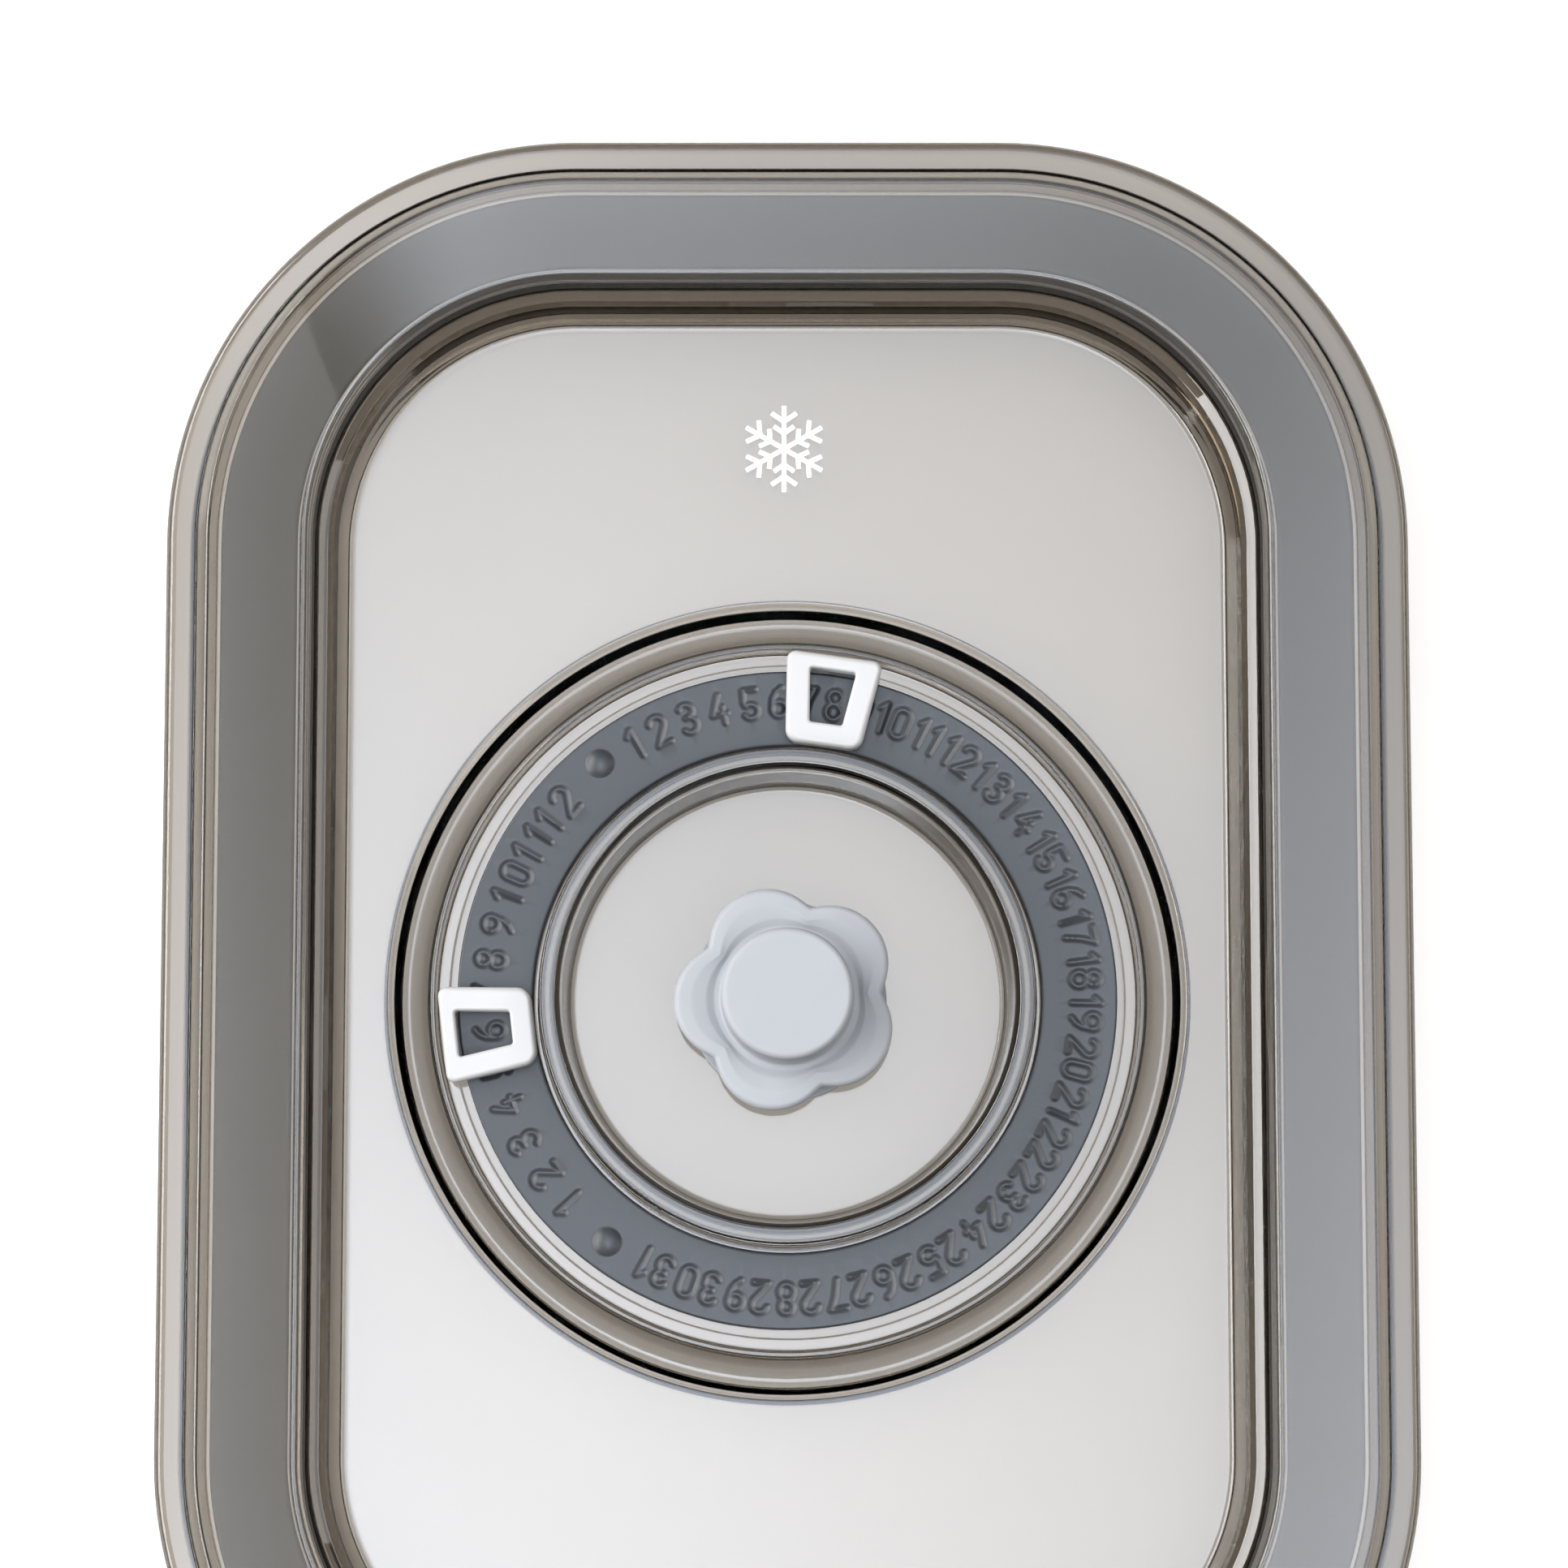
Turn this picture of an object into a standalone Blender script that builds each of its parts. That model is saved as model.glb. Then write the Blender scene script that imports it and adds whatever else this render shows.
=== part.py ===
"""Clear lid of a vacuum food box, with a date dial, two date sliders and a silicone valve.

Lengths below are in millimetres and are turned into metres as each shape is made. The lid
stands on its skirt at z = 0. The dial's axis is the Z axis, and the long side runs along Y.
"""

import math

import bmesh
import bpy

MM = 0.001

# Outline of the lid
LID_WIDTH = 109.4
LID_LENGTH = 152.0
CORNER_RADIUS = 36.0
CORNER_STEPS = 10

# Levels, from the bottom of the skirt
FLANGE_TOP = 16.0
FLANGE_BOTTOM = 13.8
LIP_TOP = 14.6
PANEL_TOP = 10.0
PANEL_BOTTOM = 8.0
WELL_FLOOR = 5.4
WELL_BOTTOM = 3.2
RIDGE_TOP = 14.2
MOAT_FLOOR = 7.2

# Dial radii
EDGE_RADIUS = 35.1
MOAT_RADIUS = 33.4
LIP_RADIUS = 31.2
GROOVE_OUTER_RADIUS = 30.8
RING_OUTER_RADIUS = 29.0
RING_INNER_RADIUS = 22.3
RIDGE_RADIUS = 21.8
WELL_RADIUS = 19.2
STEM_HOLE_RADIUS = 1.75
VENT_RADIUS = 0.6
VENT_CIRCLE = 4.2

# Date ring
RING_TOP = 10.0
RING_BOTTOM = 8.3
DOME_RADIUS = 1.3
DOME_HEIGHT = 0.45
DOME_CIRCLE = 26.6
DOME_AZIMUTHS = (-38.6, 216.4)

# Sliders
SLIDER_OUTER = 30.4
SLIDER_INNER = 22.3
SLIDER_OUTER_WIDTH = 8.6
SLIDER_INNER_WIDTH = 6.65
SLIDER_BOTTOM = 10.75
SLIDER_TOP = 12.35
DAY_AZIMUTH = 8.0
MONTH_AZIMUTH = 263.5
WINDOW_OUTER = 29.1
WINDOW_INNER = 24.3
WINDOW_OUTER_WIDTH = 4.1
WINDOW_INNER_WIDTH = 2.9
WINDOW_CORNER = 0.35
FOOT_HALF_ANGLE = 7.0
HOOK_HALF_ANGLE = 4.0

# Valve
PETALS = 5
PETAL_CENTRE = 4.9
PETAL_RADIUS = 5.1
PETAL_AZIMUTH = 50.7
PETAL_TOP = 10.3
PETAL_BOTTOM = 8.9
KNOB_RADIUS = 5.75
KNOB_TOP = 15.6
STEM_RADIUS = 1.45
BARB_RADIUS = 2.6
DISC_RADIUS = 8.8

# Seal
SEAL_OUTER_INSET = 4.9
SEAL_INNER_INSET = 11.6


def clear_scene():
    """Remove every object of the startup scene."""
    for obj in list(bpy.data.objects):
        bpy.data.objects.remove(obj)


def new_collection(name):
    """A collection of this name, linked to the scene."""
    collection = bpy.data.collections.new(name)
    bpy.context.scene.collection.children.link(collection)
    return collection


def new_material(name, colour, roughness, transmission=0.0):
    """A Principled material with a plain colour."""
    material = bpy.data.materials.new(name)
    material.use_nodes = True
    shader = material.node_tree.nodes["Principled BSDF"]
    shader.inputs["Base Color"].default_value = (*colour, 1.0)
    shader.inputs["Roughness"].default_value = roughness
    shader.inputs["Transmission Weight"].default_value = transmission
    material.diffuse_color = (*colour, 1.0)
    return material


def baked(source, name, collection):
    """Turn an object with its modifiers into one closed mesh object, its faces out."""
    bpy.context.view_layer.update()
    graph = bpy.context.evaluated_depsgraph_get()
    mesh = bpy.data.meshes.new_from_object(source.evaluated_get(graph))
    work = bmesh.new()
    work.from_mesh(mesh)
    bmesh.ops.transform(work, matrix=source.matrix_world, verts=work.verts)
    bmesh.ops.remove_doubles(work, verts=work.verts, dist=0.00001)
    bmesh.ops.recalc_face_normals(work, faces=work.faces)
    work.to_mesh(mesh)
    work.free()
    bpy.data.objects.remove(source)
    obj = bpy.data.objects.new(name, mesh)
    collection.objects.link(obj)
    return obj


def turned(name, profile, collection, steps=72):
    """Turn a profile of (radius, z) points, top to bottom on the outer side, about Z."""
    mesh = bpy.data.meshes.new(name)
    points = [(r * MM, 0.0, z * MM) for r, z in profile]
    on_axis = profile[0][0] == 0.0 and profile[-1][0] == 0.0
    edges = [(i, i + 1) for i in range(len(points) - 1)]
    if not on_axis:
        edges.append((len(points) - 1, 0))
    mesh.from_pydata(points, edges, [])
    obj = bpy.data.objects.new(name + "_profile", mesh)
    collection.objects.link(obj)
    screw = obj.modifiers.new("Turn", "SCREW")
    screw.axis = "Z"
    screw.steps = steps
    screw.render_steps = steps
    screw.use_merge_vertices = True
    screw.merge_threshold = 0.00001
    return baked(obj, name, collection)


def outline_spline(curve, points, z=0.0):
    """Add a closed straight-sided spline through these (x, y) points."""
    spline = curve.splines.new("POLY")
    spline.points.add(len(points) - 1)
    for point, (x, y) in zip(spline.points, points):
        point.co = (x * MM, y * MM, z * MM, 1.0)
    spline.use_cyclic_u = True


def plate(name, outlines, bottom, top, collection, edge=0.0):
    """Fill outlines, inner ones as holes, into a plate from bottom to top with round edges."""
    curve = bpy.data.curves.new(name, "CURVE")
    curve.dimensions = "2D"
    curve.fill_mode = "BOTH"
    for points in outlines:
        outline_spline(curve, points)
    curve.extrude = (0.5 * (top - bottom) - edge) * MM
    curve.bevel_depth = edge * MM
    curve.bevel_resolution = 2
    curve.offset = -edge * MM
    obj = bpy.data.objects.new(name + "_outline", curve)
    collection.objects.link(obj)
    obj.location.z = 0.5 * (bottom + top) * MM
    return baked(obj, name, collection)


def rounded_box_outline(inset):
    """The lid's outline moved in by inset, anticlockwise."""
    radius = CORNER_RADIUS - inset
    half_x = 0.5 * LID_WIDTH - CORNER_RADIUS
    half_y = 0.5 * LID_LENGTH - CORNER_RADIUS
    points = []
    for quarter, (sx, sy) in enumerate(((1, 1), (-1, 1), (-1, -1), (1, -1))):
        for step in range(CORNER_STEPS + 1):
            angle = 0.5 * math.pi * (quarter + step / CORNER_STEPS)
            x = sx * half_x + radius * math.cos(angle)
            y = sy * half_y + radius * math.sin(angle)
            points.append((x, y))
    return points


def circle_outline(radius, steps, centre=(0.0, 0.0)):
    """Points of a circle, anticlockwise."""
    points = []
    for step in range(steps):
        angle = math.tau * step / steps
        x = centre[0] + radius * math.cos(angle)
        y = centre[1] + radius * math.sin(angle)
        points.append((x, y))
    return points


def rounded_outline(corners, radii, steps=5):
    """Round each corner of a convex polygon of (x, y) points by its own radius."""
    points = []
    count = len(corners)
    for i in range(count):
        before = corners[i - 1]
        here = corners[i]
        after = corners[(i + 1) % count]
        into = (before[0] - here[0], before[1] - here[1])
        out = (after[0] - here[0], after[1] - here[1])
        into_length = math.hypot(*into)
        out_length = math.hypot(*out)
        into = (into[0] / into_length, into[1] / into_length)
        out = (out[0] / out_length, out[1] / out_length)
        half = 0.5 * math.acos(into[0] * out[0] + into[1] * out[1])
        middle = (into[0] + out[0], into[1] + out[1])
        size = math.hypot(*middle)
        reach = radii[i] / math.sin(half)
        centre = (here[0] + middle[0] / size * reach, here[1] + middle[1] / size * reach)
        touch = radii[i] / math.tan(half)
        first = (here[0] + into[0] * touch, here[1] + into[1] * touch)
        last = (here[0] + out[0] * touch, here[1] + out[1] * touch)
        start = math.atan2(first[1] - centre[1], first[0] - centre[0])
        end = math.atan2(last[1] - centre[1], last[0] - centre[0])
        sweep = (end - start + math.pi) % math.tau - math.pi
        for step in range(steps + 1):
            angle = start + sweep * step / steps
            x = centre[0] + radii[i] * math.cos(angle)
            y = centre[1] + radii[i] * math.sin(angle)
            points.append((x, y))
    return points


def swept_rim(name, profile, collection):
    """Sweep a closed profile of (inset, z) points round the lid's outline."""
    section = bpy.data.curves.new(name + "_section", "CURVE")
    section.dimensions = "2D"
    outline_spline(section, profile)
    section_object = bpy.data.objects.new(name + "_section", section)
    collection.objects.link(section_object)
    path = bpy.data.curves.new(name + "_path", "CURVE")
    path.dimensions = "2D"
    path.fill_mode = "NONE"
    outline_spline(path, rounded_box_outline(0.0))
    path.bevel_mode = "OBJECT"
    path.bevel_object = section_object
    path_object = bpy.data.objects.new(name + "_path", path)
    collection.objects.link(path_object)
    rim = baked(path_object, name, collection)
    bpy.data.objects.remove(section_object)
    return rim


def combine(target, tools, operation):
    """Apply an exact Boolean of each tool to the target, then drop the tool."""
    for tool in tools:
        modifier = target.modifiers.new("Join", "BOOLEAN")
        modifier.operation = operation
        modifier.solver = "EXACT"
        modifier.object = tool
        bpy.context.view_layer.update()
        graph = bpy.context.evaluated_depsgraph_get()
        mesh = bpy.data.meshes.new_from_object(target.evaluated_get(graph))
        target.modifiers.clear()
        target.data = mesh
        bpy.data.objects.remove(tool)
    return target


def cutter(name, radius, bottom, top, centre, collection):
    """A hidden upright cylinder that cuts a hole."""
    bpy.ops.mesh.primitive_cylinder_add(
        vertices=16,
        radius=radius * MM,
        depth=(top - bottom) * MM,
        location=(centre[0] * MM, centre[1] * MM, 0.5 * (bottom + top) * MM),
    )
    obj = bpy.context.object
    obj.name = name
    for owner in list(obj.users_collection):
        owner.objects.unlink(obj)
    collection.objects.link(obj)
    obj.hide_render = True
    obj.display_type = "WIRE"
    bpy.context.view_layer.update()
    obj.data.transform(obj.matrix_world)
    obj.matrix_world.identity()
    return obj


def polar(radius, azimuth):
    """The (x, y) point at this radius, azimuth in degrees clockwise from +Y."""
    angle = math.radians(azimuth)
    return (radius * math.sin(angle), radius * math.cos(angle))


def dress(obj, name, material, smooth_angle=30.0):
    """Name a finished piece, give it its material and shade its round faces smooth."""
    obj.name = name
    obj.data.name = name
    obj.data.materials.clear()
    obj.data.materials.append(material)
    obj.data.shade_smooth()
    obj.data.set_sharp_from_angle(angle=math.radians(smooth_angle))
    return obj


def rim_profile():
    """Section of the skirt, its outer lip, the flange and the inner wall, as (inset, z)."""
    return [
        (2.3, 0.0),
        (2.2, LIP_TOP - 4.6),
        (1.6, LIP_TOP - 4.1),
        (0.5, LIP_TOP - 4.0),
        (0.1, LIP_TOP - 3.6),
        (0.0, LIP_TOP - 0.9),
        (0.3, LIP_TOP - 0.2),
        (0.8, LIP_TOP),
        (2.35, LIP_TOP),
        (2.75, LIP_TOP + 0.3),
        (3.1, FLANGE_TOP - 0.7),
        (3.9, FLANGE_TOP - 0.5),
        (12.2, FLANGE_TOP),
        (12.7, FLANGE_TOP - 0.3),
        (13.3, FLANGE_TOP - 2.6),
        (14.2, FLANGE_TOP - 3.2),
        (14.7, PANEL_TOP + 1.0),
        (15.5, PANEL_TOP + 0.2),
        (16.6, PANEL_TOP - 0.6),
        (15.4, PANEL_BOTTOM + 0.6),
        (14.6, PANEL_BOTTOM - 0.8),
        (12.6, PANEL_BOTTOM - 0.8),
        (12.0, FLANGE_BOTTOM),
        (4.6, FLANGE_BOTTOM),
        (4.5, FLANGE_BOTTOM - 1.6),
        (3.7, FLANGE_BOTTOM - 1.6),
        (3.5, FLANGE_BOTTOM - 2.0),
        (3.4, 0.0),
    ]


def dial_profile():
    """Section of the dial's moat, groove, ring seat, ridge and pump well, as (radius, z)."""
    return [
        (STEM_HOLE_RADIUS, WELL_FLOOR),
        (WELL_RADIUS - 0.7, WELL_FLOOR),
        (WELL_RADIUS, WELL_FLOOR + 0.5),
        (WELL_RADIUS + 0.6, RIDGE_TOP - 1.2),
        (WELL_RADIUS + 0.9, RIDGE_TOP - 0.3),
        (WELL_RADIUS + 1.3, RIDGE_TOP),
        (RIDGE_RADIUS - 0.5, RIDGE_TOP),
        (RIDGE_RADIUS - 0.1, RIDGE_TOP - 0.5),
        (RIDGE_RADIUS, PANEL_BOTTOM),
        (GROOVE_OUTER_RADIUS - 1.0, PANEL_BOTTOM),
        (GROOVE_OUTER_RADIUS - 0.9, PANEL_BOTTOM - 0.3),
        (GROOVE_OUTER_RADIUS, PANEL_BOTTOM - 0.3),
        (GROOVE_OUTER_RADIUS + 0.1, PANEL_TOP - 0.2),
        (LIP_RADIUS, PANEL_TOP + 0.1),
        (LIP_RADIUS + 0.4, PANEL_TOP - 0.3),
        (MOAT_RADIUS - 0.3, MOAT_FLOOR),
        (MOAT_RADIUS + 0.2, MOAT_FLOOR + 0.1),
        (EDGE_RADIUS - 0.2, PANEL_TOP - 0.5),
        (EDGE_RADIUS + 1.3, PANEL_TOP - 0.5),
        (EDGE_RADIUS + 1.3, PANEL_BOTTOM + 0.5),
        (EDGE_RADIUS + 0.8, PANEL_BOTTOM + 0.5),
        (EDGE_RADIUS + 0.4, PANEL_BOTTOM - 2.2),
        (EDGE_RADIUS - 0.4, PANEL_BOTTOM - 2.9),
        (MOAT_RADIUS - 1.2, PANEL_BOTTOM - 2.9),
        (LIP_RADIUS, PANEL_BOTTOM - 2.2),
        (RIDGE_RADIUS + 0.4, PANEL_BOTTOM - 2.2),
        (WELL_RADIUS + 2.3, WELL_BOTTOM + 0.6),
        (WELL_RADIUS + 1.6, WELL_BOTTOM),
        (STEM_HOLE_RADIUS, WELL_BOTTOM),
    ]


def make_shell(collection, cutters, material):
    """The clear moulding: skirt, flange, panel, dial and pump well in one piece."""
    shell = swept_rim("lid_shell", rim_profile(), collection)
    panel = plate(
        "panel",
        [rounded_box_outline(13.9), circle_outline(EDGE_RADIUS, 72)],
        PANEL_BOTTOM,
        PANEL_TOP,
        collection,
    )
    dial = turned("dial", dial_profile(), collection)
    shell = combine(shell, [panel, dial], "UNION")
    holes = []
    for index in range(4):
        centre = polar(VENT_CIRCLE, 45.0 + 90.0 * index)
        name = "vent_cutter_" + str(index + 1)
        bottom = WELL_BOTTOM - 1.0
        holes.append(cutter(name, VENT_RADIUS, bottom, WELL_FLOOR + 1.0, centre, cutters))
    shell = combine(shell, holes, "DIFFERENCE")
    return dress(shell, "lid_shell", material)


def make_seal(collection, material):
    """The soft seal that fills the channel under the flange, with two sealing ribs."""
    top = FLANGE_BOTTOM - 0.3
    base = top - 2.0
    outer = SEAL_OUTER_INSET
    inner = SEAL_INNER_INSET
    profile = [
        (outer, base),
        (outer, top - 0.2),
        (outer + 0.2, top),
        (inner - 0.2, top),
        (inner, top - 0.2),
        (inner, base),
        (inner - 1.0, base),
        (inner - 1.3, base - 0.7),
        (inner - 1.7, base - 0.7),
        (inner - 2.0, base),
        (outer + 2.0, base),
        (outer + 1.7, base - 0.7),
        (outer + 1.3, base - 0.7),
        (outer + 1.0, base),
    ]
    seal = swept_rim("perimeter_seal", profile, collection)
    return dress(seal, "perimeter_seal", material, 50.0)


def make_ring(collection, material):
    """The grey date ring with a small dome in each gap between its two scales."""
    profile = [
        (RING_INNER_RADIUS, RING_TOP - 0.15),
        (RING_INNER_RADIUS + 0.15, RING_TOP),
        (RING_OUTER_RADIUS - 0.15, RING_TOP),
        (RING_OUTER_RADIUS, RING_TOP - 0.15),
        (RING_OUTER_RADIUS, RING_TOP - 0.9),
        (RING_OUTER_RADIUS - 0.8, RING_TOP - 1.0),
        (RING_OUTER_RADIUS - 0.8, RING_BOTTOM),
        (RING_INNER_RADIUS, RING_BOTTOM),
    ]
    ring = turned("date_ring", profile, collection)
    domes = []
    for azimuth in DOME_AZIMUTHS:
        x, y = polar(DOME_CIRCLE, azimuth)
        dome_profile = [
            (0.0, RING_TOP + DOME_HEIGHT),
            (0.45 * DOME_RADIUS, RING_TOP + 0.86 * DOME_HEIGHT),
            (0.8 * DOME_RADIUS, RING_TOP + 0.4 * DOME_HEIGHT),
            (DOME_RADIUS, RING_TOP - 0.1),
            (0.9 * DOME_RADIUS, RING_TOP - 0.8),
            (0.0, RING_TOP - 0.8),
        ]
        dome = turned("dome", dome_profile, collection, 20)
        for vertex in dome.data.vertices:
            vertex.co.x += x * MM
            vertex.co.y += y * MM
        domes.append(dome)
    ring = combine(ring, domes, "UNION")
    return dress(ring, "date_ring", material)


def arc_band(outer, inner, half_angle):
    """Outline of a short band between two radii, centred on +Y."""
    turns = [half_angle * share for share in (1.0, 0.5, 0.0, -0.5, -1.0)]
    points = [polar(outer, turn) for turn in turns]
    points += [polar(inner, turn) for turn in reversed(turns)]
    return points


def make_slider(name, azimuth, collection, material):
    """One white window frame with its foot and snap hook, its origin on the dial's axis."""
    half_outer = 0.5 * SLIDER_OUTER_WIDTH
    half_inner = 0.5 * SLIDER_INNER_WIDTH
    outer = rounded_outline(
        [
            (half_outer, SLIDER_OUTER),
            (-half_outer, SLIDER_OUTER),
            (-half_inner, SLIDER_INNER),
            (half_inner, SLIDER_INNER),
        ],
        [0.7, 0.7, 1.3, 1.3],
    )
    window_outer = 0.5 * WINDOW_OUTER_WIDTH
    window_inner = 0.5 * WINDOW_INNER_WIDTH
    window = rounded_outline(
        [
            (window_outer, WINDOW_OUTER),
            (-window_outer, WINDOW_OUTER),
            (-window_inner, WINDOW_INNER),
            (window_inner, WINDOW_INNER),
        ],
        [WINDOW_CORNER] * 4,
        3,
    )
    frame = plate(name, [outer, window], SLIDER_BOTTOM, SLIDER_TOP, collection, 0.25)
    foot_outline = arc_band(SLIDER_OUTER - 0.1, RING_OUTER_RADIUS + 0.35, FOOT_HALF_ANGLE)
    foot = plate("foot", [foot_outline], RING_BOTTOM, SLIDER_BOTTOM + 0.5, collection)
    hook_outline = arc_band(SLIDER_OUTER - 0.3, RING_OUTER_RADIUS - 0.5, HOOK_HALF_ANGLE)
    hook = plate("hook", [hook_outline], RING_BOTTOM + 0.05, RING_BOTTOM + 0.4, collection)
    slider = combine(frame, [foot, hook], "UNION")
    slider = dress(slider, name, material)
    slider.rotation_euler.z = -math.radians(azimuth)
    return slider


def petal_outline(count):
    """Outline of the petalled flap: round lobes round the centre."""
    points = []
    pitch = 360.0 / PETALS
    for step in range(count):
        angle = math.tau * step / count
        nearest = (math.degrees(angle) - PETAL_AZIMUTH + 0.5 * pitch) % pitch - 0.5 * pitch
        turn = math.radians(nearest)
        across = PETAL_CENTRE * math.sin(turn)
        radius = PETAL_CENTRE * math.cos(turn) + math.sqrt(PETAL_RADIUS**2 - across**2)
        points.append((radius * math.sin(angle), radius * math.cos(angle)))
    points.reverse()
    return points


def make_valve(collection, material):
    """The silicone release valve: petalled flap, knob, sealing disc, stem and barb."""
    body_profile = [
        (0.0, KNOB_TOP),
        (KNOB_RADIUS - 0.9, KNOB_TOP),
        (KNOB_RADIUS - 0.25, KNOB_TOP - 0.3),
        (KNOB_RADIUS, KNOB_TOP - 0.95),
        (KNOB_RADIUS, PETAL_TOP - 0.3),
        (KNOB_RADIUS - 0.3, PETAL_BOTTOM - 0.5),
        (KNOB_RADIUS - 0.8, WELL_FLOOR + 1.7),
        (DISC_RADIUS, WELL_FLOOR + 0.9),
        (DISC_RADIUS, WELL_FLOOR + 0.3),
        (STEM_RADIUS, WELL_FLOOR + 0.3),
        (STEM_RADIUS, WELL_BOTTOM - 1.6),
        (BARB_RADIUS, WELL_BOTTOM - 1.7),
        (BARB_RADIUS - 0.2, WELL_BOTTOM - 2.1),
        (1.1, WELL_BOTTOM - 2.7),
        (0.0, WELL_BOTTOM - 2.7),
    ]
    valve = turned("vacuum_valve", body_profile, collection, 48)
    flap = plate(
        "flap",
        [petal_outline(90)],
        PETAL_BOTTOM,
        PETAL_TOP,
        collection,
        0.35,
    )
    valve = combine(valve, [flap], "UNION")
    return dress(valve, "vacuum_valve", material, 40.0)


def main():
    """Build every piece of the lid."""
    clear_scene()
    lid = new_collection("vacuum_box_lid")
    cutters = new_collection("cutters")
    clear = new_material("smoke_clear_plastic", (0.62, 0.60, 0.57), 0.08, 1.0)
    rubber = new_material("grey_silicone_seal", (0.22, 0.22, 0.22), 0.5)
    slate = new_material("slate_plastic", (0.12, 0.14, 0.16), 0.4)
    white = new_material("white_plastic", (0.88, 0.88, 0.89), 0.35)
    silicone = new_material("light_grey_silicone", (0.60, 0.62, 0.66), 0.5)
    make_shell(lid, cutters, clear)
    make_seal(lid, rubber)
    make_ring(lid, slate)
    make_slider("day_slider", DAY_AZIMUTH, lid, white)
    make_slider("month_slider", MONTH_AZIMUTH, lid, white)
    make_valve(lid, silicone)


if __name__ == "__main__":
    main()
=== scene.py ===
"""Looks of the clear lid of a vacuum food box: tinted moulding, seal, numbered date ring, two
sliding windows and a silicone release valve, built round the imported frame.

Lengths are in millimetres until a mesh is made. The dial's axis is the Z axis.
"""

import logging
import math
from collections.abc import Iterable, Sequence
from dataclasses import dataclass, field
from enum import Enum

import bmesh
import bpy
import numpy as np
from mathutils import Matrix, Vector


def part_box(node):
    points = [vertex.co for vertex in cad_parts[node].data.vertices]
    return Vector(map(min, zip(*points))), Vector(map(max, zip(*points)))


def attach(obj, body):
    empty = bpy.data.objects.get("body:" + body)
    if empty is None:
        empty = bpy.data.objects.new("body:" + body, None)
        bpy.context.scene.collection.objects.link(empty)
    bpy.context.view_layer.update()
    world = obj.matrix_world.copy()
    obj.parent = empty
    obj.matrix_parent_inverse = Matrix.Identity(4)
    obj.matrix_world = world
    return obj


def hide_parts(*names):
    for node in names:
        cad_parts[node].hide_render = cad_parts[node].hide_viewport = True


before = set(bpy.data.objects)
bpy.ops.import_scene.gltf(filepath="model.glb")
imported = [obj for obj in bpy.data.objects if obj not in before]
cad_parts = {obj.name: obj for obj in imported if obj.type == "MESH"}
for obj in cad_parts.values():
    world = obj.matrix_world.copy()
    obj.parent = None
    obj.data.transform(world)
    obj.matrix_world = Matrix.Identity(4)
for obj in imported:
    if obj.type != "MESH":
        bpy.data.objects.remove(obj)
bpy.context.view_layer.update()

MM = 0.001
SEAL_INNER_INSET = 11.6
RING_INNER = 22.3
SLIDER_BOTTOM = 10.75
DAY_AZIMUTH = 8.0
MONTH_AZIMUTH = 263.5
log = logging.getLogger("lid")


# ---------------------------------------------------------------- shapes


@dataclass(frozen=True)
class Corner:
    """One corner of a section: distance from the dial's axis, height, and fillet radius."""

    x: float
    z: float
    fillet: float = 0.0


class Ends(Enum):
    """How a run of rings is finished."""

    LOOP = "the last ring joins the first"
    POLES = "the first and last rings close onto a centre point"


def filleted(corners: Sequence[Corner], closed: bool, turn: float = 15.0) -> list[tuple[float, float]]:
    """Round the corners of a section and guard its straight runs.

    Args:
        corners: the section's corners in order.
        closed: whether the last corner joins the first.
        turn: the largest change of direction between two points of a fillet, in degrees.

    Returns:
        The section's points. A point close to each end of a straight run keeps its shading flat.
    """
    count = len(corners)
    rounds: list[list[np.ndarray]] = []
    for i, corner in enumerate(corners):
        here = np.array((corner.x, corner.z))
        if not closed and i in (0, count - 1) or corner.fillet <= 0.0:
            rounds.append([here])
            continue
        before = corners[i - 1]
        after = corners[(i + 1) % count]
        into = np.array((before.x, before.z)) - here
        out = np.array((after.x, after.z)) - here
        room = 0.45 * min(np.linalg.norm(into), np.linalg.norm(out))
        into = into / np.linalg.norm(into)
        out = out / np.linalg.norm(out)
        half = 0.5 * math.acos(float(np.clip(into @ out, -1.0, 1.0)))
        if half > 0.495 * math.pi:
            rounds.append([here])
            continue
        reach = min(corner.fillet / math.tan(half), room)
        radius = reach * math.tan(half)
        middle = (into + out) / np.linalg.norm(into + out)
        centre = here + middle * radius / math.sin(half)
        first = here + into * reach - centre
        last = here + out * reach - centre
        start = math.atan2(first[1], first[0])
        sweep = (math.atan2(last[1], last[0]) - start + math.pi) % math.tau - math.pi
        steps = max(2, math.ceil(abs(math.degrees(sweep)) / turn))
        angles = [start + sweep * step / steps for step in range(steps + 1)]
        rounds.append([centre + radius * np.array((math.cos(a), math.sin(a))) for a in angles])
    points: list[tuple[float, float]] = []
    for i, bend in enumerate(rounds):
        points.extend((float(p[0]), float(p[1])) for p in bend)
        if not closed and i == count - 1:
            break
        start_point = bend[-1]
        end_point = rounds[(i + 1) % count][0]
        run = float(np.linalg.norm(end_point - start_point))
        if run > 0.3:
            guard = min(0.06, 0.2 * run)
            for share in (guard / run, 1.0 - guard / run):
                point = start_point + (end_point - start_point) * share
                points.append((float(point[0]), float(point[1])))
    return points


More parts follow.
